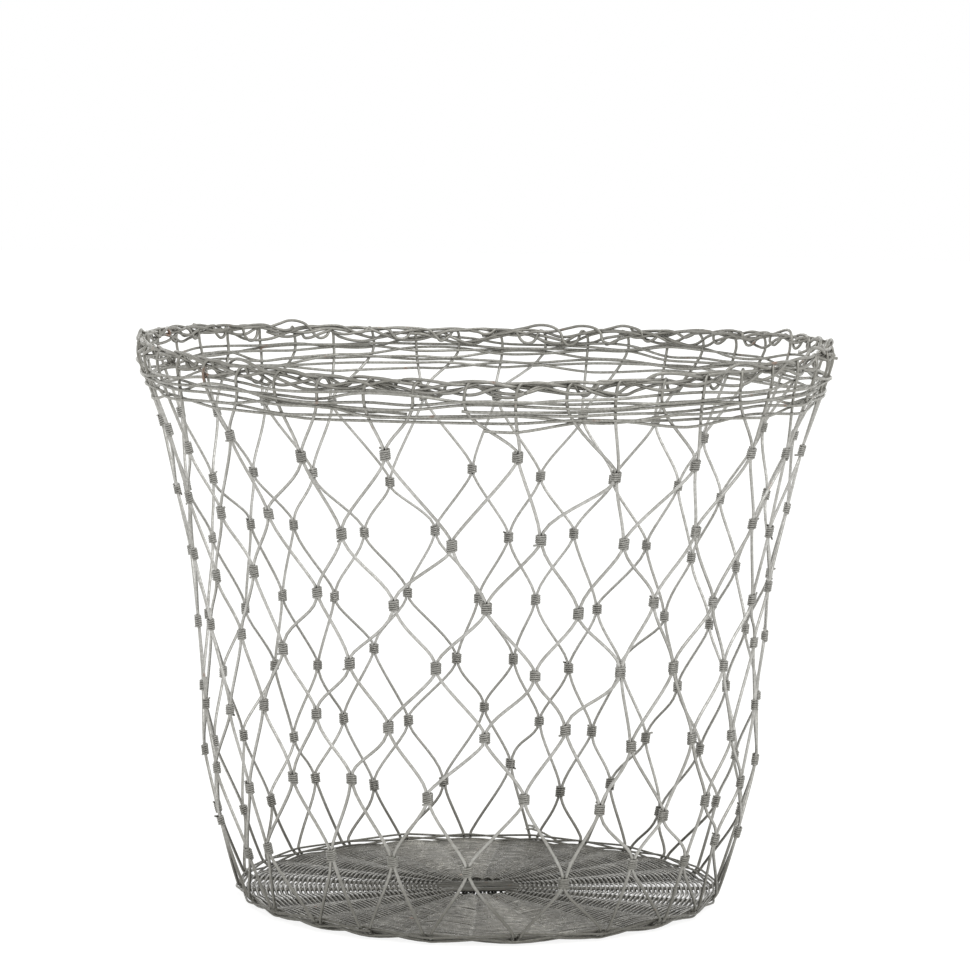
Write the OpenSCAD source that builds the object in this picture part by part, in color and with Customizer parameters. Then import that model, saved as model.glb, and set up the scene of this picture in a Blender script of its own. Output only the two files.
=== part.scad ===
// Round wire basket: through stakes tied into a diamond net over a woven base,
// with fine weavers under a rolled border at the rim.
// Angles start at the front (-Y) and grow towards the right (+X).

/* [Body] */
// Diameter of the border, along the middle of its roll
border_d = 336; // [320:2:350]
// Mean height of the middle of the border above the floor
border_h = 268; // [264:1:280]
// Rise of the border at both sides, and its dip at front and back
border_saddle = 3.9; // [0:0.1:6]
// Diameter that the wall would have at the floor
foot_d = 233; // [225:1:240]
// Diameter of the wall at its belly, where the flare starts
belly_d = 274; // [266:1:282]
// Height of the belly above the floor
belly_h = 94; // [86:1:102]

/* [Wires] */
// Diameter of the stake wire
stake_d = 1.6; // [1.4:0.05:1.8]
// Diameter of the fine weaving and binding wire
weaver_d = 1.1; // [0.9:0.05:1.2]
// Gap left between two wires that lie side by side or cross
wire_gap = 0.15; // [0.1:0.01:0.2]
// Radius of the bend where a stake turns up from the base
foot_bend_r = 8; // [7:0.5:9]
// Sideways spread of the two stakes of a spoke, each, as they turn up
foot_splay = 2; // [0:0.25:2.5]
// Radius of the bend where a stake turns into the border
border_bend_r = 2.4; // [2.2:0.1:2.6]

/* [Net] */
// Angle of the first spoke from the front
first_spoke_turn = -7; // [-15:0.5:15]
// Height of the lowest row of ties
first_row_h = 38; // [36:0.5:40]
// Height from one row of ties to the next
row_step = 32; // [31.5:0.25:32.5]
// Number of turns in a tie
tie_turns = 6; // [5:1:6]

/* [Base] */
// Distance from the middle where the stakes start to fan out of the crossed bundles
fan_start_r = 4; // [3:0.5:5]
// Distance from the middle where they have fanned out into spokes
fan_end_r = 18; // [17.5:0.5:19]
// Inner radius of the woven base
weave_inner_r = 22.5; // [22:0.5:26]
// Number of lengths of weaver in the base, each a ring of it
weave_bands = 3; // [3]
// Turns of the foot weaver round the bend
foot_turns = 3; // [2:1:3]

/* [Rim] */
// Turns of each of the two rim weavers
rim_turns = 3; // [2:1:3]
// Height from one of these turns to the next
rim_turn_step = 2.6; // [2.4:0.1:2.7]
// Height from the highest of them to the middle of the border
border_clear = 6; // [5.8:0.1:7]

/* [Hidden] */
$fn = 36;

// A bend in a wire has a ball this much wider than the wire
ball_share = 1.12;
// A straight piece stops this share of the wire's diameter before a bend
joint_share = 0.23;
// Straight pieces built in one run of a wire
run_links = 8;

spoke_count = 23;
end_count = 2 * spoke_count;
pitch = 360 / spoke_count;

ball_d = ball_share * stake_d;
weaver_ball_d = ball_share * weaver_d;
// Two stakes side by side lie this far from the line between them
pair_off = (ball_d + wire_gap) / 2;
// A weaver lies this far from the stake that it crosses, from middle to middle
cross_off = (ball_d + weaver_ball_d) / 2 + wire_gap;
// A pair of stakes reaches this far to each side
pair_reach = pair_off + ball_d / 2;

// The stakes lie in the middle of the base's thickness
base_mid = weaver_d + ball_d / 2 + wire_gap;
base_h = 2 * base_mid;
bundle_step = ball_d + wire_gap / 2;

row_count = 7;
top_row_h = first_row_h + (row_count - 1) * row_step;
turn_step = weaver_d + wire_gap / 4;
tie_h = tie_turns * turn_step;
// A stake bends this far above and below the middle of a tie
tie_reach = tie_h / 2 + ball_d / 4;

foot_bend_turn = 69;
foot_bend_steps = 3;
foot_turn_step = 18;
foot_first_turn = 14;

border_strands = 4;
border_bend_steps = 2;
strand_steps = 8;
// Part of a full turn of the roll that a strand makes before its cut end
strand_share = 0.92;
roll_r = (ball_d + wire_gap) / sqrt(2) / cos(180 * strand_share / strand_steps);

// Exponents of the rounded foot and of the flare
foot_curve = 1.75;
flare_curve = 1.9;

// Place of each spoke against an even fan, as a share of the pitch, from the front to the right
spoke_share = [
    -.3, 0, .35, .45, .4, .4, .4, .45, .5, .35, .2, .05, .15, .2, .25, .3, .2, .1, 0, 0, -.1, -.1, -.25,
];

// Sideways place of each tie against an even net, as a share of the pitch,
// row by row from the lowest, and round each row from the front to the right
drift_share = [
    [-.2, .1, .1, .1, -.2, -.1, 0, .1, .4, .4, .2, 0, 0, .1, .1, .1, -.1, .1, .1, .1, -.3, -.1, -.2],
    [-.2, 0, 0, 0, -.2, -.2, 0, .3, .3, .4, .3, .1, -.1, 0, 0, -.1, 0, 0, .1, 0, 0, -.1, -.2],
    [0, 0, -.1, -.1, -.2, -.3, 0, .3, .4, .4, .2, 0, -.2, 0, -.1, -.3, 0, .1, .1, .1, -.1, -.2, -.2],
    [-.1, .1, .2, 0, 0, -.1, .1, .3, .3, .2, .3, .2, 0, 0, .1, 0, -.2, 0, .2, .1, 0, -.2, -.2],
    [0, .1, .1, .1, .1, -.2, 0, .3, .3, .1, .2, .1, .1, .1, .2, 0, 0, .1, .2, 0, -.1, -.1, -.1],
    [.1, .1, .1, .1, .2, -.2, -.1, .3, .4, .2, .2, .2, .1, .2, .3, .3, .2, .1, .1, 0, -.1, -.2, -.2],
    [.3, .4, .4, .3, .2, .3, .3, .3, .4, .2, .2, .3, .2, .4, .4, .3, .2, .2, .3, -.1, -.1, -.1, -.1],
];

// Height of each tie against an even net, as a share of the row step, in the same order
lift_share = [
    [0, -.2, 0, -.1, .1, 0, .1, 0, -.4, -.1, -.3, .1, -.2, -.2, 0, -.2, -.2, .1, .1, -.2, 0, .1, .1],
    [.1, .1, -.1, -.3, -.2, -.1, 0, -.2, -.3, -.3, -.3, -.2, 0, -.2, -.1, -.3, -.1, 0, .1, 0, -.1, .2, .3],
    [0, .1, -.2, -.2, -.3, 0, -.1, -.2, -.4, -.2, -.3, -.2, -.2, 0, -.2, -.1, 0, 0, -.1, 0, .2, .2, .1],
    [0, -.1, -.1, -.1, -.2, 0, -.1, -.2, -.3, -.3, -.3, -.2, -.2, -.1, -.1, 0, -.1, 0, .1, .2, .2, .1, 0],
    [-.1, -.2, -.1, -.2, -.3, -.2, -.2, -.3, -.3, -.2, -.1, -.2, -.1, -.1, .1, .2, .1, .1, .2, 0, .2, 0, -.1],
    [-.2, -.1, -.2, -.1, -.1, -.3, -.1, -.1, -.3, -.2, -.2, -.2, -.1, -.3, -.1, 0, 0, 0, .1, .1, 0, .1, -.1],
    [.1, -.2, -.1, 0, -.1, -.2, -.1, -.1, -.4, -.2, -.2, .1, .1, 0, .1, 0, .1, .1, .1, -.1, .2, 0, .1],
];

// The lift of the rim starts this share of a row step above the top ties
lift_from_share = 0.35;
lift_from_h = top_row_h + lift_from_share * row_step;

// Radius of the wall's middle surface at a height
function wall_r(h) = h < belly_h
    ? (foot_d + (belly_d - foot_d) * (1 - pow(1 - h / belly_h, foot_curve))) / 2
    : (belly_d + (border_d - belly_d) * pow((h - belly_h) / (border_h - belly_h), flare_curve)) / 2;

// Lift of the rim at an angle: all of it at the border, none at the net
function rim_lift(a, h) = -border_saddle * cos(2 * a)
    * max(0, (h - lift_from_h) / (border_h - lift_from_h));

// A point at an angle, with a step sideways along the tangent
function polar(r, a, h, side = 0) = [r * sin(a) + side * cos(a), side * sin(a) - r * cos(a), h];
function wall_point(a, h, side = 0) = polar(wall_r(h), a, h + rim_lift(a, h), side);
// A point moved along the tangent and outwards
function beside(p, side, out) =
    let (a = atan2(p.x, -p.y)) p + polar(out, a, 0, side);
// Turn round the wall that an arc of a given length covers at a height
function arc_turn(arc, h) = arc / wall_r(h) * 180 / PI;
function reversed(points) = [for (k = [len(points) - 1 : -1 : 0]) points[k]];

// Stake ends are numbered round the base, two to a spoke. Odd rows of ties sit over the
// spokes, and even rows between them.
function spoke_turn(end) =
    let (spoke = floor(end / 2)) first_spoke_turn + pitch * (spoke + spoke_share[spoke]);
function spoke_side(end) = end % 2 == 0 ? -pair_off : pair_off;
// Way of a stake from the middle of its spoke, once it has turned through part of its bend
function splay_side(end, share) = spoke_side(end) + sign(spoke_side(end)) * foot_splay * share;
function tie_turn(row, i) = first_spoke_turn
    + pitch * (i + (row % 2 == 0 ? 1 / 2 : 0) + drift_share[row][i]);
function tie_mid_h(row, i) = first_row_h + row_step * (row + lift_share[row][i]);
function tie_of(row, end) = row % 2 == 1
    ? floor(end / 2)
    : (floor((end + 1) / 2) + spoke_count - 1) % spoke_count;
function tie_side(row, end) = (row + end) % 2 == 0 ? pair_off : -pair_off;
function tie_point(row, i, up, side = 0) =
    wall_point(tie_turn(row, i), tie_mid_h(row, i) + up, side);

// The two bends of a stake at each tie, from the lowest row to the top
function net_points(end) = [
    for (row = [0 : row_count - 1])
        for (up = [-tie_reach, tie_reach])
            tie_point(row, tie_of(row, end), up, tie_side(row, end))
];

// The bend from the flat base into the wall
bend_end_h = base_mid + foot_bend_r * (1 - cos(foot_bend_turn));
bend_mid_r = wall_r(bend_end_h) - foot_bend_r * sin(foot_bend_turn);
weave_outer_r = bend_mid_r - wire_gap;
function bend_point(turn, a, side, out = 0) = polar(
    bend_mid_r + (foot_bend_r + out) * sin(turn), a,
    base_mid + foot_bend_r - (foot_bend_r + out) * cos(turn), side);
function foot_points(end) = concat(
    [for (k = [0 : foot_bend_steps])
        let (share = k / foot_bend_steps)
            bend_point(foot_bend_turn * share, spoke_turn(end), splay_side(end, share))],
    [wall_point(spoke_turn(end), bend_end_h + cross_off, splay_side(end, 1))]);

// The rolled border. A place in it is given by its phase, from below over the outside and the
// top to the inside, and by its distance from the middle of the roll.
border_lean = atan((border_d - belly_d) / 2 * flare_curve / (border_h - belly_h));
function roll_point(a, phase, off) = polar(
    border_d / 2 + off * sin(phase - border_lean), a,
    border_h + rim_lift(a, border_h) - off * cos(phase - border_lean));
function border_turn(end) = first_spoke_turn + pitch * (end - 1 / 2) / 2;
strand_turn = strand_share * border_strands * pitch / 2;
// A stake bends to the right into the roll, where it makes one turn with three others
function border_points(end) =
    let (a = border_turn(end), from = a + arc_turn(border_bend_r, border_h))
    concat(
        [for (k = [0 : border_bend_steps - 1])
            let (turn = 90 * k / border_bend_steps)
                roll_point(a + arc_turn(border_bend_r * (1 - cos(turn)), border_h), 0,
                    roll_r + border_bend_r * (1 - sin(turn)))],
        [for (k = [0 : strand_steps])
            let (u = k / strand_steps)
                roll_point(from + strand_turn * u, 360 * strand_share * u, roll_r)]);

// The crossed bundles in the middle of the base. The lower one runs front to back and the
// upper one lies across it, and both fan out into spokes.
lower_count = ceil(spoke_count / 2);
upper_count = floor(spoke_count / 2);
bundle_turn = first_spoke_turn + pitch / 2;
first_lower_end = end_count - 2 * floor((lower_count - 1) / 4);
function fan_points(end, arm_turn, across, h) = [
    polar(fan_start_r, arm_turn, h, across),
    polar(fan_end_r, spoke_turn(end), h, spoke_side(end)),
    polar(weave_inner_r - wire_gap, spoke_turn(end), base_mid, spoke_side(end)),
];

function end_points(end, arm_turn, across, h) =
    let (e = end % end_count)
    concat(fan_points(e, arm_turn, across, h), foot_points(e), net_points(e), border_points(e));

// A stake runs from its first end down the wall, through the base and up to its other end.
// Its ends are given as places after the first end of the lower bundle.
function stake_points(place, arm_turn, end1, end2, h) = concat(
    reversed(end_points(first_lower_end + end1, arm_turn, place * bundle_step, h)),
    end_points(first_lower_end + end2, arm_turn + 180, -place * bundle_step, h));
function lower_stake(i) = stake_points(i - (lower_count - 1) / 2, bundle_turn,
    i, 2 * lower_count + upper_count - 1 - i, base_mid - pair_off);
function upper_stake(i) = stake_points(i - (upper_count - 1) / 2, bundle_turn + 90,
    lower_count + i, 2 * lower_count + 2 * upper_count - 1 - i, base_mid + pair_off);

// The foot weaver passes outside one spoke and inside the next, and as there is an odd
// number of spokes it passes each on the other side in its next turn
foot_weaver_points = [
    for (k = [0 : foot_turns * spoke_count - 1])
        for (side = [-1, 1])
            let (turn = foot_first_turn + foot_turn_step * k / spoke_count)
                bend_point(turn, spoke_turn(2 * (k % spoke_count)),
                    side * (pair_reach + foot_splay * turn / foot_bend_turn),
                    k % 2 == 0 ? cross_off : -cross_off)
];

// The rim weavers pass the two stakes over each top tie in the same way
rim_low_h = border_h - border_clear - 2 * rim_turns * rim_turn_step;
function over_tie(i, h, side) =
    let (
        end = (2 * i + (side < 0 ? 1 : 2)) % end_count,
        low = tie_point(row_count - 1, i, tie_reach, tie_side(row_count - 1, end)),
        top = roll_point(border_turn(end), 0, roll_r + border_bend_r),
        low_h = tie_mid_h(row_count - 1, i) + tie_reach
    )
    low + (top - low) * (h - low_h) / (border_h - roll_r - border_bend_r - low_h);
function rim_weaver_points(first) = [
    for (k = [first : first + rim_turns * spoke_count - 1])
        for (side = [-stake_d / 2, stake_d / 2])
            beside(over_tie(k % spoke_count, rim_low_h + rim_turn_step * k / spoke_count, side),
                side, k % 2 == 0 ? cross_off : -cross_off)
];

// Rotation that turns +Z to a direction, as its two angles and as a matrix
function turns_to(run) = [acos(run.z / norm(run)), atan2(run.y, run.x)];
function frame_of(turns) = let (t = turns[0], a = turns[1]) [
    [cos(t) * cos(a), -sin(a), sin(t) * cos(a)],
    [cos(t) * sin(a), cos(a), sin(t) * sin(a)],
    [-sin(t), 0, cos(t)],
];

// A round wire along a line of points, built in short runs. A run starts in the frame of the
// straight piece before it.
module wire(points, d) {
    for (from = [0 : run_links : len(points) - 2]) {
        turns = from == 0 ? [0, 0] : turns_to(points[from] - points[from - 1]);
        translate(points[from])
            rotate([0, turns[0], turns[1]])
                links(points, d, from, min(len(points) - 1, from + run_links), frame_of(turns));
    }
}

// A run of straight pieces with balls at their bends. Each stands in the frame of the one
// before it, so that their axes meet in the middle of the ball.
module links(points, d, from, to, frame) {
    run = points[from + 1] - points[from];
    length = norm(run);
    turns = turns_to(run * frame);
    start = from == 0 ? 0 : joint_share * d;
    end = from + 2 == len(points) ? length : length - joint_share * d;
    if (from > 0)
        rotate(turns[1] / 2 + 180)
            sphere(d = ball_share * d);
    rotate([0, turns[0], turns[1]]) {
        translate([0, 0, start])
            cylinder(h = end - start, d = d);
        if (from + 1 < to)
            translate([0, 0, length])
                links(points, d, from + 1, to, frame * frame_of(turns));
    }
}

module stake(i) {
    color("silver")
        wire(i < lower_count ? lower_stake(i) : upper_stake(i - lower_count), stake_d);
}

// A tie is modelled as a sleeve, flat at front and back, with a slot for its two stakes
tie_in_x = pair_off + stake_d / 2 + wire_gap;
tie_in_y = stake_d / 2 + wire_gap;
module tie() {
    difference() {
        intersection() {
            cylinder(h = tie_h, r = tie_in_x + weaver_d, center = true);
            cube([2 * (tie_in_x + weaver_d), 2 * (tie_in_y + weaver_d), tie_h], center = true);
        }
        cube([2 * tie_in_x, 2 * tie_in_y, 2 * tie_h], center = true);
    }
}

module tie_row(row) {
    color("darkgray")
        for (i = [0 : spoke_count - 1]) {
            low = tie_point(row, i, -tie_reach);
            high = tie_point(row, i, tie_reach);
            translate((low + high) / 2)
                rotate([turns_to(high - low)[0], 0, tie_turn(row, i)])
                    tie();
        }
}

// The weave is modelled as flat rings with a channel for each spoke
module base_weave(band) {
    band_w = (weave_outer_r - weave_inner_r) / weave_bands;
    from_r = weave_inner_r + band * band_w;
    to_r = from_r + band_w - (band < weave_bands - 1 ? wire_gap : 0);
    color("dimgray")
        difference() {
            cylinder(h = base_h, r = to_r);
            translate([0, 0, -base_h])
                cylinder(h = 3 * base_h, r = from_r);
            for (i = [0 : spoke_count - 1])
                rotate(spoke_turn(2 * i))
                    translate([-pair_reach - wire_gap, -2 * to_r, base_mid - ball_d / 2 - wire_gap / 2])
                        cube([2 * (pair_reach + wire_gap), 2 * to_r, ball_d + wire_gap]);
        }
}

module foot_weaver() {
    color("gray")
        wire(foot_weaver_points, weaver_d);
}

module rim_weaver(first) {
    color("gray")
        wire(rim_weaver_points(first), weaver_d);
}

band_names = ["base_weave_inner", "base_weave_middle", "base_weave_outer"];
rim_names = ["rim_weaver_lower", "rim_weaver_upper"];
function stake_name(i) = str("stake_", i < 9 ? "0" : "", i + 1);
function row_name(row) = str("tie_row_", row + 1);

for (i = [0 : spoke_count - 1])
    stake(i);
for (row = [0 : row_count - 1])
    tie_row(row);
for (band = [0 : weave_bands - 1])
    base_weave(band);
foot_weaver();
for (k = [0 : 1])
    rim_weaver(k * rim_turns * spoke_count);
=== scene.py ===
# A round wire basket. Long stakes run from the border down the wall, through the base and up
# the other side, and are bound to each other by rows of ties. Finer wire is woven through
# the base, round the foot and below the rolled border.
# Lengths are in millimetres until a piece is made. Turns are degrees from the front (-Y)
# towards the right (+X).
import math
import random

import bmesh
import bpy
from mathutils import Matrix, Vector


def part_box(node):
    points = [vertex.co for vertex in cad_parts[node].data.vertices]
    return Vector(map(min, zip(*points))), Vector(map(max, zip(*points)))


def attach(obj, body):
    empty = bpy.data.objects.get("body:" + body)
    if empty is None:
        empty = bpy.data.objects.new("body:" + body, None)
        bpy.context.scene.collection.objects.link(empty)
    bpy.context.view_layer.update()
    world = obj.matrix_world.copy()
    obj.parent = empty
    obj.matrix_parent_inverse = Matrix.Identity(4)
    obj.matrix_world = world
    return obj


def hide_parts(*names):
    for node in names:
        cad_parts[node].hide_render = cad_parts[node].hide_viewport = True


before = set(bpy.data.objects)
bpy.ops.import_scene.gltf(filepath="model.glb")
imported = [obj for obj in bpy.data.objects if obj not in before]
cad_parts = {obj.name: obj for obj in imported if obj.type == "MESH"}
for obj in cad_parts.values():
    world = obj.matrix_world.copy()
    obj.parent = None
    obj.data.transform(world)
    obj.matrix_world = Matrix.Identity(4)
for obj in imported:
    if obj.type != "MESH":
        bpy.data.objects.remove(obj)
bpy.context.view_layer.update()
mm = 0.001

net = {
    "spokes": 23,
    "rows": 7,
    "firstTurn": -7,  # degrees from the front to the first spoke
    "stakeThick": 1.5,
    "pairHalf": 0.88,  # half the distance between two stakes that lie together
    "pressed": 0.1,  # a tie may press a stake this much nearer
    "wander": 0.2,  # in or out at a tie
    "leave": (0.35, 0.8),  # how far a stake turns towards its next tie as it leaves one
    "reach": (5, 10),  # length of the curve where it leaves
    "inTie": 1.5,  # and of the curve inside the tie
    "seed": 1000,
}
# Place of each spoke against an even fan, as a share of the pitch
spokeShares = [-0.3, 0, 0.35, 0.45, 0.4, 0.4, 0.4, 0.45, 0.5, 0.35, 0.2, 0.05]
spokeShares += [0.15, 0.2, 0.25, 0.3, 0.2, 0.1, 0, 0, -0.1, -0.1, -0.25]
pitch = 360 / net["spokes"]
endCount = 2 * net["spokes"]
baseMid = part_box("base_weave_outer")[1].z / mm / 2
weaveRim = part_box("base_weave_outer")[1].x / mm


# A place at a radius, turn and height, and moved to the right of that turn
def around(radius, turn, height, side=0.0):
    a = math.radians(turn)
    x = radius * math.sin(a) + side * math.cos(a)
    y = side * math.sin(a) - radius * math.cos(a)
    return Vector((x, y, height))


def turnOf(point):
    return math.degrees(math.atan2(point.x, -point.y))


# A knot is a place on a wire, the ways it comes in and goes on, and the reach of each
def knot(at, along=None, goOn=None, back=None, ahead=None):
    return {"at": Vector(at), "comeIn": along, "goOn": goOn or along, "back": back, "ahead": ahead}


# A knot with no way of its own points past its neighbours, and one with no reach of its own
# takes a share of the distance to them
def settle(knots, ease=0.36, longest=0.5):
    for i, k in enumerate(knots):
        before = knots[max(i - 1, 0)]["at"]
        after = knots[min(i + 1, len(knots) - 1)]["at"]
        if k["comeIn"] is None:
            k["comeIn"] = k["goOn"] = (after - before).normalized()
        toBefore, toAfter = (k["at"] - before).length, (after - k["at"]).length
        k["back"] = min(k["back"] or ease * toBefore, longest * toBefore)
        k["ahead"] = min(k["ahead"] or ease * toAfter, longest * toAfter)
    return knots


# Bends wires of one thickness through their knots and returns them as one mesh
def wireMesh(name, wires, thick, sides=8, steps=6, straight=False):
    curve = bpy.data.curves.new(name, "CURVE")
    curve.dimensions = "3D"
    curve.resolution_u = steps
    curve.bevel_depth = thick / 2 * mm
    curve.bevel_resolution = (sides - 4) // 2  # 0 gives 4 sides, and each one more gives 2
    curve.use_fill_caps = True
    for wire in wires:
        if straight:
            spline = curve.splines.new("POLY")
            spline.points.add(len(wire) - 1)
            for point, at in zip(spline.points, wire):
                point.co = (*(at * mm), 1)
        else:
            spline = curve.splines.new("BEZIER")
            spline.bezier_points.add(len(wire) - 1)
            for point, k in zip(spline.bezier_points, settle(wire)):
                point.co = k["at"] * mm
                point.handle_left = (k["at"] - k["comeIn"] * k["back"]) * mm
                point.handle_right = (k["at"] + k["goOn"] * k["ahead"]) * mm
        spline.use_smooth = True
    holder = bpy.data.objects.new(name, curve)
    bpy.context.collection.objects.link(holder)
    bpy.context.view_layer.update()
    graph = bpy.context.evaluated_depsgraph_get()
    mesh = bpy.data.meshes.new_from_object(holder.evaluated_get(graph))
    bpy.data.objects.remove(holder)
    bpy.data.curves.remove(curve)
    mesh.name = name
    return mesh


def addPiece(name, mesh, material, slot, *nodes):
    piece = bpy.data.objects.new(name, mesh)
    bpy.context.collection.objects.link(piece)
    mesh.materials.clear()
    mesh.materials.append(material)
    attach(piece, "root")
    if nodes:
        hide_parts(*nodes)
    return piece


# An sRGB hex code as linear light
def linearColour(code):
    parts = [int(code[i : i + 2], 16) / 255 for i in (1, 3, 5)]
    return [c / 12.92 if c <= 0.04045 else ((c + 0.055) / 1.055) ** 2.4 for c in parts] + [1]


def addNode(tree, kind, values=None, links=None, **settings):
    node = tree.nodes.new(kind)
    for name, value in settings.items():
        setattr(node, name, value)
    for socket, value in (values or {}).items():
        node.inputs[socket].default_value = value
    for socket, source in (links or {}).items():
        tree.links.new(source, node.inputs[socket])
    return node


# Steel wire, drawn, hot-dipped in zinc and left to weather: the zinc has dulled to a grey
# film with lighter spangle, so that it glints softly and never mirrors. The colour is made
# darker by height and towards the middle of the base: painted shade at the foot, and a darker
# tone low on the wall and in the border. Dirt lies in streaks along the weave of the base.
def zincWire(name, look):
    material = bpy.data.materials.new(name)
    material.use_nodes = True
    tree = material.node_tree
    tree.nodes.clear()
    place = addNode(tree, "ShaderNodeTexCoord").outputs["Object"]
    axes = addNode(tree, "ShaderNodeSeparateXYZ", links={0: place}).outputs
    height = axes[2]
    flat = addNode(tree, "ShaderNodeCombineXYZ", links={0: axes[0], 1: axes[1]}).outputs[0]
    length = addNode(tree, "ShaderNodeVectorMath", links={0: flat}, operation="LENGTH")
    radius = length.outputs["Value"]

    # Clouds of noise: what they lie on, their detail and how rough they are
    patterns = {
        "spangle": (place, 2, 0.5),
        "film": (place, 3, 0.5),
        "stain": (place, 3, 0.5),
        "pit": (place, 3, 0.5),
    }
    if "streak" in look:
        links = {0: axes[1], 1: axes[0]}
        turn = addNode(tree, "ShaderNodeMath", links=links, operation="ARCTAN2").outputs[0]
        values = {1: look["streakArc"] * mm}
        arc = addNode(tree, "ShaderNodeMath", values, {0: turn}, operation="MULTIPLY").outputs[0]
        rings = addNode(tree, "ShaderNodeCombineXYZ", links={0: radius, 1: arc}).outputs[0]
        patterns["streak"] = (rings, 4, 0.65)
    clouds = {}
    for pattern, (where, detail, rough) in patterns.items():
        values = {"Scale": 1 / (look[pattern] * mm), "Detail": detail, "Roughness": rough}
        noise = addNode(tree, "ShaderNodeTexNoise", values, {"Vector": where})
        clouds[pattern] = noise.outputs["Fac"]

    # Just below the border and in it, rust comes a little sooner
    low, high = look["rimRange"]
    values = {"From Min": low * mm, "From Max": high * mm, "To Max": look["rimRust"]}
    links = {"Value": height}
    soft = {"interpolation_type": "SMOOTHSTEP"}
    underRim = addNode(tree, "ShaderNodeMapRange", values, links, **soft).outputs["Result"]
    links = {0: clouds["stain"], 1: underRim}
    rusty = addNode(tree, "ShaderNodeMath", links=links, operation="ADD").outputs[0]

    # Layers of colour over the dull zinc: what a layer follows, where it starts, where it is
    # full, how much it covers, and its colour
    layers = [("spangle", clouds["spangle"], *look["spangleRange"], 1, look["bright"])]
    if "streak" in look:
        streak = (*look["streakRange"], look["streakPart"], look["streakColour"])
        layers.append(("streak", clouds["streak"], *streak))
    layers.append(("film", clouds["film"], *look["filmRange"], look["filmPart"], look["darkTone"]))
    # Darker by height: painted shade at the foot, and a darker tone low on the wall and in the
    # border
    for low, high, part, darkTone in look["darkerAt"]:
        layers.append(("darkTone", height, low * mm, high * mm, part, darkTone))
    # Darker towards the middle of the base
    low, high, part = look["middle"]
    layers.append(("middle", radius, low * mm, high * mm, part, look["middleDark"]))
    layers.append(("rust", rusty, *look["rustRange"], look["rustPart"], look["rust"]))
    shares, below = {}, {}
    for layer, source, low, high, part, code in layers:
        values = {"From Min": low, "From Max": high, "To Max": part}
        share = addNode(tree, "ShaderNodeMapRange", values, {"Value": source}, **soft)
        shares[layer] = share.outputs["Result"]
        values = {6: linearColour(look["dull"]), 7: linearColour(code)}
        links = {0: shares[layer], **below}
        mix = addNode(tree, "ShaderNodeMix", values, links, data_type="RGBA")
        below = {6: mix.outputs[2]}

    links = {"Base Color": mix.outputs[2]}
    for socket, layer, (bare, covered) in (
        ("Roughness", "spangle", look["rough"]),
        ("Metallic", "rust", look["metal"]),
    ):
        values = {"To Min": bare, "To Max": covered}
        share = addNode(tree, "ShaderNodeMapRange", values, {"Value": shares[layer]}, **soft)
        links[socket] = share.outputs["Result"]
    values = {"Strength": look["pitStrength"], "Distance": look["pitDepth"] * mm}
    pits = addNode(tree, "ShaderNodeBump", values, {"Height": clouds["pit"]})
    links["Normal"] = pits.outputs["Normal"]
    surface = addNode(tree, "ShaderNodeBsdfPrincipled", links=links).outputs[0]
    addNode(tree, "ShaderNodeOutputMaterial", links={"Surface": surface})
    return material


# A range is where in its noise a pattern starts and where it is full
stakeLook = {
    "bright": "#c6c5c1",
    "dull": "#b4b3ae",
    "rough": (0.5, 0.36),  # of the dull zinc and of the bright
    "metal": (0.85, 0.2),  # of the zinc and of the rust
    "spangle": 1.6,  # size of the zinc's patches
    "spangleRange": (0.3, 0.7),
    "film": 30,  # the dull grey film comes and goes over this length
    "filmRange": (0.4, 0.62),
    "filmPart": 0.3,
    "darkTone": "#78766d",
    # From a height to another, how much and what colour: darker towards the bottom,
    # painted shade at the foot, and darker in the border
    "darkerAt": [(150, 20, 0.3, "#78766d"), (45, 12, 0.75, "#605e57"), (238, 262, 0.6, "#78766d")],
    "middleDark": "#45443f",
    "middle": (44, 14, 0.8),  # darker from a radius inwards, towards the middle of the base, and how much
    "rust": "#8f6a55",
    "stain": 9,  # size of its stains
    "rustRange": (0.7, 0.82),
    "rustPart": 0.7,
    "rimRange": (240, 262),  # heights, and the rust comes sooner above them
    "rimRust": 0.06,
    "pit": 0.5,  # coarser than the real grain of the zinc, so that it shows
    "pitDepth": 0.05,
    "pitStrength": 0.5,
}
# The ties are the same wire as the stakes, but darker: painted shade between their tight turns
tieLook = dict(stakeLook, bright="#acaba6", dull="#969590", darkTone="#6f6d66", spangle=1.2, film=14)
weaverLook = dict(stakeLook, bright="#adaca6", dull="#94938c", spangle=1.2, film=25)
# Painted shade low down, near the floor
weaverLook["darkerAt"] = [(14, 2, 0.85, "#78766d")]
# Painted shade on the foot wire, darkest where it meets the floor
footLook = dict(weaverLook, darkerAt=[(18, 5, 0.72, "#55534c")])
# The base wire is the same zinc, but darker: painted shade where the wires of the base surround and
# cover each other
baseLook = dict(
    weaverLook,
    bright="#8d8b84",
    dull="#75736d",
    rough=(0.38, 0.27),
    spangle=2.5,
    film=24,
    filmPart=0.5,
    darkTone="#63615b",
    darkerAt=[],
    middle=(60, 20, 0.35),
    pitDepth=0.015,
    streak=3.2,  # width of the streaks
    streakArc=23,  # at this radius they are as long as wide, and further out they are longer
    streakRange=(0.38, 0.6),
    streakPart=0.8,
    streakColour="#565550",
)

stakeZinc = zincWire("weathered galvanised stake wire", stakeLook)
tieZinc = zincWire("galvanised binding wire with painted shade between turns", tieLook)
weaverZinc = zincWire("weathered galvanised weaving wire", weaverLook)
footZinc = zincWire("galvanised foot wire with painted shade", footLook)
baseZinc = zincWire("galvanised base wire darkened with painted shade", baseLook)
print("materials made")


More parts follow.
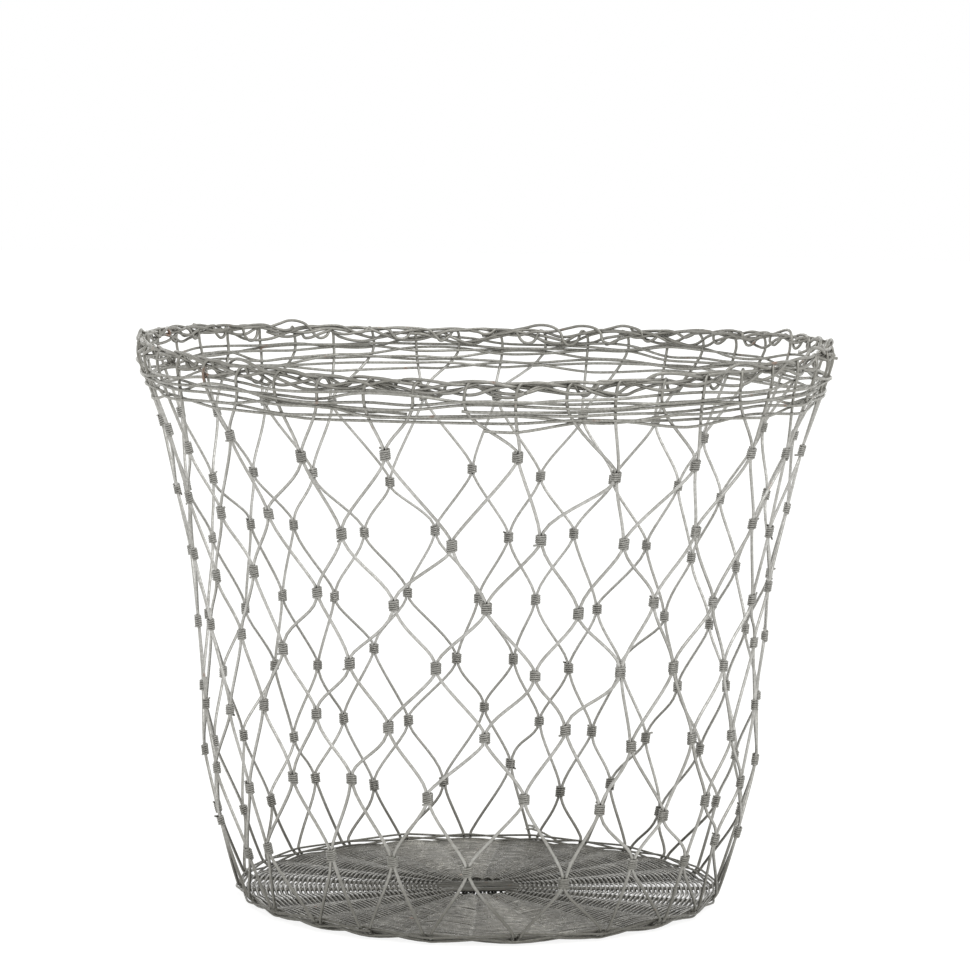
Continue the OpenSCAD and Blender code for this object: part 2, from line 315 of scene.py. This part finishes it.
# Finds each tie of a CAD row, by its own closed mesh
def readTies(row):
    shape = bmesh.new()
    shape.from_mesh(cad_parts["tie_row_%d" % (row + 1)].data)
    bmesh.ops.remove_doubles(shape, verts=shape.verts, dist=1e-6)
    found = [None] * net["spokes"]
    seen = set()
    for first in shape.verts:
        if first in seen:
            continue
        seen.add(first)
        group, waiting = [], [first]
        while waiting:
            vert = waiting.pop()
            group.append(vert.co / mm)
            for edge in vert.link_edges:
                other = edge.other_vert(vert)
                if other not in seen:
                    seen.add(other)
                    waiting.append(other)
        middle = sum(group, Vector()) / len(group)
        low = [p for p in group if p.z < middle.z]
        high = [p for p in group if p.z >= middle.z]
        low, high = sum(low, Vector()) / len(low), sum(high, Vector()) / len(high)
        turn = turnOf(middle)
        up = (high - low).normalized()
        side = around(0, turn, 0, 1)
        # Rows sit between the spokes and over them by turns
        i = round((turn - net["firstTurn"]) / pitch - (0.5 if row % 2 == 0 else 0)) % net["spokes"]
        found[i] = {"low": low, "high": high, "middle": middle}
        found[i].update({"up": up, "side": side, "out": side.cross(up)})
    shape.free()
    return found


ties = [readTies(row) for row in range(net["rows"])]
tie = {
    "thick": 1.05,
    "step": (0.96, 1.03),  # from one turn to the next
    "mostTurns": 8,  # more than any tie has
    "tall": (0.76, 0.94),  # share of the room between the bends of the stakes
    "perTurn": 12,
    "loose": (-0.02, 0.07),  # how much wider a turn is than a tight one
    "wobble": (0.04, 9),  # how high, and the angle it goes on by each turn
    "lean": 8,  # degrees
    "tails": 0.3,  # share of the cut ends that stand off
    "tailLength": (0.8, 1.8),
    "tailOut": 0.4,
    "seed": 100,
}


# A place on the loop that goes round two stakes, from 0 to 1 round it
def loopPlace(share, grow):
    flat = 2 * net["pairHalf"]
    bend = net["stakeThick"] / 2 + tie["thick"] / 2 + grow
    run = share % 1 * (2 * flat + 2 * math.pi * bend)
    if run < flat:
        return Vector((run - flat / 2, -bend))
    run -= flat
    if run < math.pi * bend:
        a = run / bend
        return Vector((flat / 2 + bend * math.sin(a), -bend * math.cos(a)))
    run -= math.pi * bend
    if run < flat:
        return Vector((flat / 2 - run, bend))
    a = (run - flat) / bend
    return Vector((-flat / 2 - bend * math.sin(a), bend * math.cos(a)))


def wind(bound, chance):
    room = (bound["high"] - bound["low"]).length - tie["thick"]
    tall = room * chance.uniform(*tie["tall"])
    turns = tall / chance.uniform(*tie["step"])
    steps = round(turns * tie["perTurn"])
    start = chance.random()
    lean = math.tan(math.radians(chance.uniform(-tie["lean"], tie["lean"])))
    grow = [chance.uniform(*tie["loose"]) for _ in range(tie["mostTurns"] + 1)]
    wobble, faster = tie["wobble"]
    wire = []
    for j in range(steps + 1):
        u = j / tie["perTurn"]
        ring = loopPlace(start + u, grow[int(u)] * (1 - u % 1) + grow[int(u) + 1] * (u % 1))
        height = (j / steps - 0.5) * tall + lean * ring.x + wobble * math.sin(faster * u)
        at = bound["middle"] + bound["side"] * ring.x - bound["out"] * ring.y
        wire.append(at + bound["up"] * height)
    for at, other in ((0, 1), (-1, -2)):
        if chance.random() < tie["tails"]:
            run = (wire[at] - wire[other]).normalized() * chance.uniform(*tie["tailLength"])
            tip = wire[at] + run + (wire[at] - bound["middle"]).normalized() * tie["tailOut"]
            wire.insert(len(wire) if at else 0, tip)
    return wire


for row in range(net["rows"]):
    chance = random.Random(tie["seed"] + row)
    wires = [wind(bound, chance) for bound in ties[row]]
    name = "tie_wire_%d" % (row + 1)
    mesh = wireMesh(name, wires, tie["thick"], sides=6, steps=1, straight=True)
    addPiece(name, mesh, tieZinc, "tie_wire", "tie_row_%d" % (row + 1))
print("ties wound")

foot = {
    "bendFrom": 0.15,  # the bend starts this far outside the weave
    "bendRadius": 8,
    "bendTurn": 69,
    "midTurn": 38,  # of a knot within the bend
    "splay": (1.2, 2.4),  # how far the two stakes of a spoke spread as they turn up
    "midSplay": 0.4,  # share of it at that knot
    "flatReach": 20,  # length of the curve along the base
    "bendReach": 4,  # and into the bend
    "toTie": 3,  # a stake meets its first tie as if from this many pair halves beside its spoke
}
bendMiddle = weaveRim + foot["bendFrom"]
border = {
    "radius": 167,
    "height": 268,
    "dip": 3.9,  # it dips at front and back and rises at the sides
    "aim": (1, -14),  # out and up from its middle, where a stake heads from its last tie
    "rise": (1.4, -6),  # out and up from its middle, where a stake comes up
    "riseWay": (0.25, 0.97),  # out and up
    "riseReach": (9, 3),  # length of the curve before and after
    "top": 2.8,  # height of its top strand above its middle
    # A strand rolls over: pitches along, out, up, and its shares of the drop and of the hump
    "roll": [
        (0.05, 0.6, -0.2, 0, 0),
        (0.13, -1.5, 0, 0.75, 0),
        (0.21, -2.2, 0, 1, 0),
        (0.28, -1.7, 0, 0.7, 0),
        (0.33, -1, -0.6, 0, 0),
        (0.44, -0.2, 0, 0, 0.75),
        (0.58, 0.5, 0, 0, 1),
        (0.74, 1.1, 0, 0, 0.5),
        (0.9, 1.3, -0.5, 0, 0),
    ],
    "humps": 0.22,  # share of the strands that stand over the rest
    "humpTall": (2.2, 3.6),
    "humpLow": (0, 1),
    "loops": 0.6,  # share of the strands that drop in a deep loop
    "dropDeep": (5, 7.5),
    "dropSmall": (1.5, 3.5),
    "reach": (2.6, 3.6),  # pitches that a strand goes on for
    "levels": (-2.2, 0.5),  # a strand runs this far above or below the others
    "waveSteps": 10,
    "waveDepth": (2.5, 7),
    "waveLength": (0.9, 1.4),
    "waveSharp": 1.5,  # over 1, a wave is longer at its top than below
    "inAndOut": (1.8, 2.2, 1.7),  # how far, its first angle and its angle at each step
    "loose": (0.015, 0.4, 0.35),  # pitches along, out and up
    "spikes": 0.6,  # share of the cut ends that stand out
    "spikeOut": (0.5, 3.5),
    "spikeUp": (-1.5, 3),
    "spikeAlong": 2,
}
bundle = {
    "step": 1.87,  # from one stake to the next
    "startRadius": 4,  # a stake lies along its bundle here
    "startReach": 5,  # length of the curve as it leaves the bundle
    "fanRadius": 18,  # it lies over its spoke from here
    "spokeRadius": 25,  # and level with all the others from here
    "loose": 0.9,  # sideways, and half of it up or down
}


def tieOf(row, end):
    return end // 2 if row % 2 else ((end + 1) // 2 - 1) % net["spokes"]


def tieSide(row, end):
    return 1 if (row + end) % 2 == 0 else -1


def turnOfSpoke(spoke):
    return net["firstTurn"] + pitch * (spoke + spokeShares[spoke % net["spokes"]])


def spokeTurn(end):
    return turnOfSpoke(end // 2)


def spokeSide(end):
    return -net["pairHalf"] if end % 2 == 0 else net["pairHalf"]


def borderTurn(end):
    return net["firstTurn"] + pitch * (end - 0.5) / 2


def borderPlace(turn, out, up):
    height = border["height"] - border["dip"] * math.cos(math.radians(2 * turn))
    return around(border["radius"] + out, turn, height + up)


# A place so many degrees up the bend at the foot
def footPlace(bend, turn, side, out=0.0):
    a = math.radians(bend)
    radius = foot["bendRadius"] + out
    height = baseMid + foot["bendRadius"] - radius * math.cos(a)
    return around(bendMiddle + radius * math.sin(a), turn, height, side)


def middlePart(end, armTurn, across, height, chance):
    turn, side = spokeTurn(end), spokeSide(end)
    outward = around(1, turn, 0)
    across += chance.uniform(-bundle["loose"], bundle["loose"])
    height += chance.uniform(-bundle["loose"], bundle["loose"]) / 2
    start = around(bundle["startRadius"], armTurn, height, across)
    return [
        knot(start, around(1, armTurn, 0), ahead=bundle["startReach"]),
        knot(around(bundle["fanRadius"], turn, height, side), outward),
        knot(around(bundle["spokeRadius"], turn, baseMid, side), outward),
    ]


def footPart(end, chance):
    turn, side = spokeTurn(end), spokeSide(end)
    splay = math.copysign(chance.uniform(*foot["splay"]), side)
    flat, up = foot["flatReach"], foot["bendReach"]
    return [
        knot(footPlace(0, turn, side), around(1, turn, 0), back=flat, ahead=up),
        knot(footPlace(foot["midTurn"], turn, side + foot["midSplay"] * splay)),
        knot(footPlace(foot["bendTurn"], turn, side + splay)),
    ]


def netPart(end, chance):
    points = []
    for row in range(net["rows"]):
        bound = ties[row][tieOf(row, end)]
        drift = bound["out"] * chance.uniform(-net["wander"], net["wander"])
        half = net["pairHalf"] - chance.uniform(0, net["pressed"])
        step = bound["side"] * tieSide(row, end) * half + drift
        points.append((bound["low"] + step, bound["high"] + step, bound["up"]))
    last = borderPlace(borderTurn(end), *border["aim"])
    first = footPlace(foot["bendTurn"], spokeTurn(end), spokeSide(end) * foot["toTie"])
    made = []
    for row, (low, high, up) in enumerate(points):
        fromBelow = (low - (points[row - 1][1] if row else first)).normalized()
        toAbove = ((points[row + 1][0] if row + 1 < len(points) else last) - high).normalized()
        comeIn = up.lerp(fromBelow, chance.uniform(*net["leave"])).normalized()
        goOn = up.lerp(toAbove, chance.uniform(*net["leave"])).normalized()
        back, ahead = chance.uniform(*net["reach"]), chance.uniform(*net["reach"])
        made.append(knot(low, comeIn, up, back=back, ahead=net["inTie"]))
        made.append(knot(high, up, goOn, back=net["inTie"], ahead=ahead))
    return made


# The stake end rises outside, turns right over the top, drops inside in a loop, humps over
# the top again and goes on along the border in long waves
def borderPart(end, chance):
    turn = borderTurn(end)
    kind = "humpTall" if chance.random() < border["humps"] else "humpLow"
    hump = chance.uniform(*border[kind])
    kind = "dropDeep" if chance.random() < border["loops"] else "dropSmall"
    drop = chance.uniform(*border[kind])
    top = border["top"]
    path = []
    for along, out, up, dropShare, humpShare in border["roll"]:
        path.append((along, out, top + up - dropShare * drop + humpShare * hump))
    rolled = border["roll"][-1][0]
    last = chance.uniform(*border["reach"])
    depth = chance.uniform(*border["waveDepth"])
    level = top + chance.uniform(*border["levels"])
    length = chance.uniform(*border["waveLength"])
    swing, swingFrom, swingStep = border["inAndOut"]
    for k in range(1, border["waveSteps"] + 1):
        along = rolled + (last - rolled) * k / border["waveSteps"]
        wave = 0.5 - 0.5 * math.cos(2 * math.pi * (along - rolled) / length)
        up = level - depth * wave ** border["waveSharp"]
        path.append((along, swing * math.sin(swingFrom + swingStep * k), up))
    out, up = border["riseWay"]
    back, ahead = border["riseReach"]
    made = [knot(borderPlace(turn, *border["rise"]), around(out, turn, up), back=back, ahead=ahead)]
    for place in path:
        moves = [chance.uniform(-much, much) for much in border["loose"]]
        along, out, up = (p + move for p, move in zip(place, moves))
        made.append(knot(borderPlace(turn + pitch * along, out, up)))
    if chance.random() < border["spikes"]:
        last = made[-1]["at"]
        out, up = chance.uniform(*border["spikeOut"]), chance.uniform(*border["spikeUp"])
        made.append(knot(last + around(out, turnOf(last), up, border["spikeAlong"])))
    return made


# Half a stake, from the middle of the base to its end in the border
def stakeHalf(end, armTurn, across, height):
    end %= endCount
    chance = random.Random(net["seed"] + end)
    return (
        middlePart(end, armTurn, across, height, chance)
        + footPart(end, chance)
        + netPart(end, chance)
        + borderPart(end, chance)
    )


def turnedBack(knots):
    for k in knots:
        comeIn, goOn = k["comeIn"], k["goOn"]
        k["comeIn"] = -goOn if goOn else None
        k["goOn"] = -comeIn if comeIn else None
        k["back"], k["ahead"] = k["ahead"], k["back"]
    return knots[::-1]


# The lower bundle runs from front to back and the upper one across it. Here the ends are
# counted round the border from the first stake of the lower bundle.
lowerCount = (net["spokes"] + 1) // 2
upperCount = net["spokes"] // 2
firstEnd = endCount - 2 * ((lowerCount - 1) // 4)
for i in range(net["spokes"]):
    if i < lowerCount:
        place = i - (lowerCount - 1) / 2
        otherEnd = 2 * lowerCount + upperCount - 1 - i
        arm, height = 0, baseMid - net["pairHalf"]
    else:
        place = i - lowerCount - (upperCount - 1) / 2
        otherEnd = endCount + lowerCount - 1 - i
        arm, height = 90, baseMid + net["pairHalf"]
    arm += net["firstTurn"] + pitch / 2
    across = place * bundle["step"]
    wire = turnedBack(stakeHalf(firstEnd + i, arm, across, height))
    wire += stakeHalf(firstEnd + otherEnd, arm + 180, -across, height)
    name = "%02d" % (i + 1)
    mesh = wireMesh("stake_wire_" + name, [wire], net["stakeThick"], steps=7)
    addPiece("stake_wire_" + name, mesh, stakeZinc, "stake_wire", "stake_" + name)
print("stakes bent")

weave = {
    "thick": 1.1,
    "innerRadius": 19,
    "rowStep": 1.17,
    "cross": 1.33,  # a weaver lies this far above or below the stakes
    "crossShare": (0.93, 1.05),
    "overBend": 3.4,  # the last rows climb this far round the bend of the stakes
    "loose": 0.14,
    "looseTurn": 0.15,
    "offFloor": 0.05,
    "parts": ("inner", "middle", "outer"),
    "seed": 300,
}


def weavePlace(run, turn, up):
    if run < bendMiddle:
        return around(run, turn, baseMid + up)
    return footPlace(math.degrees((run - bendMiddle) / foot["bendRadius"]), turn, 0, -up)


def weaveLength(fromRow, toRow, chance):
    made = []
    for step in range(fromRow * net["spokes"], toRow * net["spokes"] + 1):
        run = weave["innerRadius"] + weave["rowStep"] * step / net["spokes"]
        up = weave["cross"] * (1 if step % 2 else -1) * chance.uniform(*weave["crossShare"])
        run += chance.uniform(-weave["loose"], weave["loose"])
        turn = turnOfSpoke(step) + chance.uniform(-weave["looseTurn"], weave["looseTurn"])
        at = weavePlace(run, turn, up)
        at.z = max(at.z, weave["thick"] / 2 + weave["offFloor"])
        made.append(knot(at))
    return made


weaveRows = int((bendMiddle + weave["overBend"] - weave["innerRadius"]) / weave["rowStep"])
rowEnds = [round(weaveRows * part / len(weave["parts"])) for part in range(len(weave["parts"]) + 1)]
for part, name in enumerate(weave["parts"]):
    chance = random.Random(weave["seed"] + part)
    wire = weaveLength(rowEnds[part], rowEnds[part + 1], chance)
    mesh = wireMesh("base_wire_" + name, [wire], weave["thick"], sides=6)
    addPiece("base_wire_" + name, mesh, baseZinc, "weaver_wire", "base_weave_" + name)
print("base woven,", weaveRows, "rows")

footWeave = {
    "thick": 1.1,
    "turns": 3,
    "fromBend": 27,  # degrees up the bend of the stakes
    "bendStep": 10,  # each turn
    "cross": 1.4,
    "halfWidth": 1.9,  # it stays outside or inside over this much to both sides of a spoke
    "widen": 2,  # and this much more where the bend ends
    "loose": 0.35,
    "looseBend": 3,
    "seed": 400,
}
chance = random.Random(footWeave["seed"])
wire = []
for step in range(footWeave["turns"] * net["spokes"]):
    bend = footWeave["fromBend"] + footWeave["bendStep"] * step / net["spokes"]
    bend += chance.uniform(-footWeave["looseBend"], footWeave["looseBend"])
    cross = footWeave["cross"] * (1 if step % 2 == 0 else -1)
    wide = footWeave["halfWidth"] + footWeave["widen"] * bend / foot["bendTurn"]
    for side in (-1, 1):
        jitter = chance.uniform(-footWeave["loose"], footWeave["loose"])
        wire.append(knot(footPlace(bend, turnOfSpoke(step), side * wide, cross + jitter)))
mesh = wireMesh("foot_wire", [wire], footWeave["thick"])
addPiece("foot_wire", mesh, footZinc, "weaver_wire", "foot_weaver")

rimWeave = {
    "thick": 1.35,
    "turns": 4,  # of each of the two wires
    "step": 1.98,
    "start": 246,  # height of its first turn
    "lowest": 244,  # its turns are kept above this
    "cross": 1.6,
    "steep": 0.85,  # under 1, a stake leans out soon after its last tie
    "loose": 1.2,
    "looseOut": 0.4,
    "looseUp": 0.5,
    "cutEnd": (0.6, 0.4, 5),  # out, up and along from a stake
    "waves": [(5.3, 1.2), (8.7, 1.2), (13.9, 1)],  # how many to a turn, and how high
    "phases": (0, 6.28),
    "seed": 500,
}


# A place on the stake at one side of a spoke, between its last tie and the border
def rimPlace(spoke, height, side):
    bound = ties[net["rows"] - 1][spoke]
    end = (2 * spoke + (1 if side < 0 else 2)) % endCount
    low = bound["high"] + bound["side"] * net["pairHalf"] * side
    top = borderPlace(borderTurn(end), *border["rise"])
    return low.lerp(top, ((height - low.z) / (top.z - low.z)) ** rimWeave["steep"])


for part, name in enumerate(("lower", "upper")):
    chance = random.Random(rimWeave["seed"] + part)
    phases = [chance.uniform(*rimWeave["phases"]) for _ in rimWeave["waves"]]
    wire = []
    for step in range(rimWeave["turns"] * net["spokes"]):
        turned = step / net["spokes"]
        height = rimWeave["start"] + rimWeave["step"] * (turned + part * rimWeave["turns"])
        for (count, size), phase in zip(rimWeave["waves"], phases):
            height += size * math.sin(2 * math.pi * count * turned + phase)
        height += chance.uniform(-rimWeave["loose"], rimWeave["loose"])
        height = max(height, rimWeave["lowest"])
        before = part * rimWeave["turns"] * net["spokes"]
        cross = rimWeave["cross"] * (1 if (before + step) % 2 == 0 else -1)
        for side in (-1, 1):
            at = rimPlace(step % net["spokes"], height, side)
            out = cross + chance.uniform(-rimWeave["looseOut"], rimWeave["looseOut"])
            up = chance.uniform(-rimWeave["looseUp"], rimWeave["looseUp"])
            wire.append(knot(at + around(out, turnOf(at), up)))
    # Its first end stands out past a stake, and its last bends once more and stops at one
    out, up, along = rimWeave["cutEnd"]
    at = wire[-2]["at"]
    wire.insert(-1, knot(at + around(out, turnOf(at), up, along)))
    at = wire[0]["at"]
    wire.insert(0, knot(at + around(out, turnOf(at), up, -along)))
    mesh = wireMesh("rim_wire_" + name, [wire], rimWeave["thick"])
    addPiece("rim_wire_" + name, mesh, weaverZinc, "weaver_wire", "rim_weaver_" + name)
print("foot and rim woven")

# The cut end of the foot weaver, wound round a stake at the back
curl = {
    "thick": 1.1,
    "spoke": 11,
    "out": 8.6,  # from the start of the stakes' bend
    "height": 9,
    "side": 2.6,
    "radius": 2.1,
    "turns": 1.3,
    "steps": 14,
    "start": 1.3,  # above its middle
    "drop": 0.16,  # from one step to the next
    "tail": [(6, 2.5, -2.5), (17, 1.5, -7.7)],  # left, out and up from its middle
}
turn = turnOfSpoke(curl["spoke"])
centre = around(bendMiddle + curl["out"], turn, curl["height"], curl["side"])
side, out = around(0, turn, 0, 1), around(1, turn, 0)
wire = []
for j in range(curl["steps"] + 1):
    a = 2 * math.pi * curl["turns"] * j / curl["steps"]
    at = centre + side * math.cos(a) * curl["radius"] + out * math.sin(a) * curl["radius"]
    wire.append(knot(at + Vector((0, 0, curl["start"] - curl["drop"] * j))))
for left, away, up in curl["tail"]:
    wire.append(knot(centre - side * left + out * away + Vector((0, 0, up))))
mesh = wireMesh("curl", [wire], curl["thick"], steps=5)
addPiece("curl", mesh, weaverZinc, "weaver_wire")
print("curl made")

# The backdrop is white all round and the light above it is dimmer
stage = {
    "floorRadius": 6,  # metres
    "floorSides": 96,
    "floorColour": "#8c8c8a",
    "floorLift": 0.85,  # a glow that only the camera and reflections see
    "horizon": 1.17,
    "zenith": 0.84,
    "dimRange": (0.08, 0.75),  # of the upward part of a direction
    "behind": 1.1,  # added behind the basket
    "behindRange": (0.82, 0.97),  # of its backward part
}
white = linearColour("#ffffff")
shape = bmesh.new()
bmesh.ops.create_circle(
    shape, cap_ends=True, segments=stage["floorSides"], radius=stage["floorRadius"]
)
mesh = bpy.data.meshes.new("floor")
shape.to_mesh(mesh)
shape.free()
floor = bpy.data.objects.new("floor", mesh)
bpy.context.collection.objects.link(floor)
paper = bpy.data.materials.new("matt white paper")
paper.use_nodes = True
tree = paper.node_tree
tree.nodes.clear()
rays = addNode(tree, "ShaderNodeLightPath").outputs
links = {0: rays["Is Camera Ray"], 1: rays["Is Glossy Ray"]}
seen = addNode(tree, "ShaderNodeMath", links=links, operation="ADD").outputs[0]
values = {1: stage["floorLift"]}
lift = addNode(tree, "ShaderNodeMath", values, {0: seen}, operation="MULTIPLY").outputs[0]
colour = linearColour(stage["floorColour"])
matt = addNode(tree, "ShaderNodeBsdfDiffuse", {"Color": colour}).outputs[0]
glow = addNode(tree, "ShaderNodeEmission", {"Color": white}, {"Strength": lift}).outputs[0]
both = addNode(tree, "ShaderNodeAddShader", links={0: matt, 1: glow}).outputs[0]
addNode(tree, "ShaderNodeOutputMaterial", links={"Surface": both})
mesh.materials.append(paper)

world = bpy.data.worlds.new("studio")
bpy.context.scene.world = world
world.use_nodes = True
tree = world.node_tree
tree.nodes.clear()
rays = addNode(tree, "ShaderNodeLightPath").outputs
direction = addNode(tree, "ShaderNodeTexCoord").outputs["Generated"]
axes = addNode(tree, "ShaderNodeSeparateXYZ", links={0: direction}).outputs
lights = []
for axis, (low, high), fromLevel, toLevel in (
    ("Z", stage["dimRange"], stage["horizon"], stage["zenith"]),
    ("Y", stage["behindRange"], 0, stage["behind"]),
):
    values = {"From Min": low, "From Max": high, "To Min": fromLevel, "To Max": toLevel}
    links, soft = {"Value": axes[axis]}, {"interpolation_type": "SMOOTHSTEP"}
    lights.append(addNode(tree, "ShaderNodeMapRange", values, links, **soft).outputs["Result"])
links = {0: lights[0], 1: lights[1]}
dome = addNode(tree, "ShaderNodeMath", links=links, operation="ADD").outputs[0]
links = {0: rays["Is Camera Ray"], 2: dome}  # the camera sees a strength of 1, plain white
level = addNode(tree, "ShaderNodeMix", {3: 1.0}, links).outputs[0]
sky = addNode(tree, "ShaderNodeBackground", {"Color": white}, {"Strength": level}).outputs[0]
addNode(tree, "ShaderNodeOutputWorld", links={"Surface": sky})

lamp = {"strength": 1.0, "softness": 45, "fromRight": 40, "fromAbove": 60}  # degrees
light = bpy.data.lights.new("softbox", "SUN")
light.energy = lamp["strength"]
light.angle = math.radians(lamp["softness"])
sun = bpy.data.objects.new("softbox", light)
bpy.context.collection.objects.link(sun)
sun.rotation_euler = (math.radians(90 - lamp["fromAbove"]), 0, math.radians(lamp["fromRight"]))

view = {
    "lens": 144.2,
    "sensor": 36,
    "back": 1888,
    "height": 415,
    "right": 0.7,
    "down": 6.407,  # degrees, as the roll
    "roll": 0.69,
}
camera = bpy.data.objects.new("camera", bpy.data.cameras.new("camera"))
bpy.context.collection.objects.link(camera)
camera.data.lens = view["lens"]
camera.data.sensor_width = view["sensor"]
camera.matrix_world = (
    Matrix.Translation(Vector((view["right"], -view["back"], view["height"])) * mm)
    @ Matrix.Rotation(math.radians(90 - view["down"]), 4, "X")
    @ Matrix.Rotation(math.radians(view["roll"]), 4, "Z")
)
bpy.context.scene.camera = camera
bpy.context.scene.view_settings.view_transform = "Standard"
print("stage set")
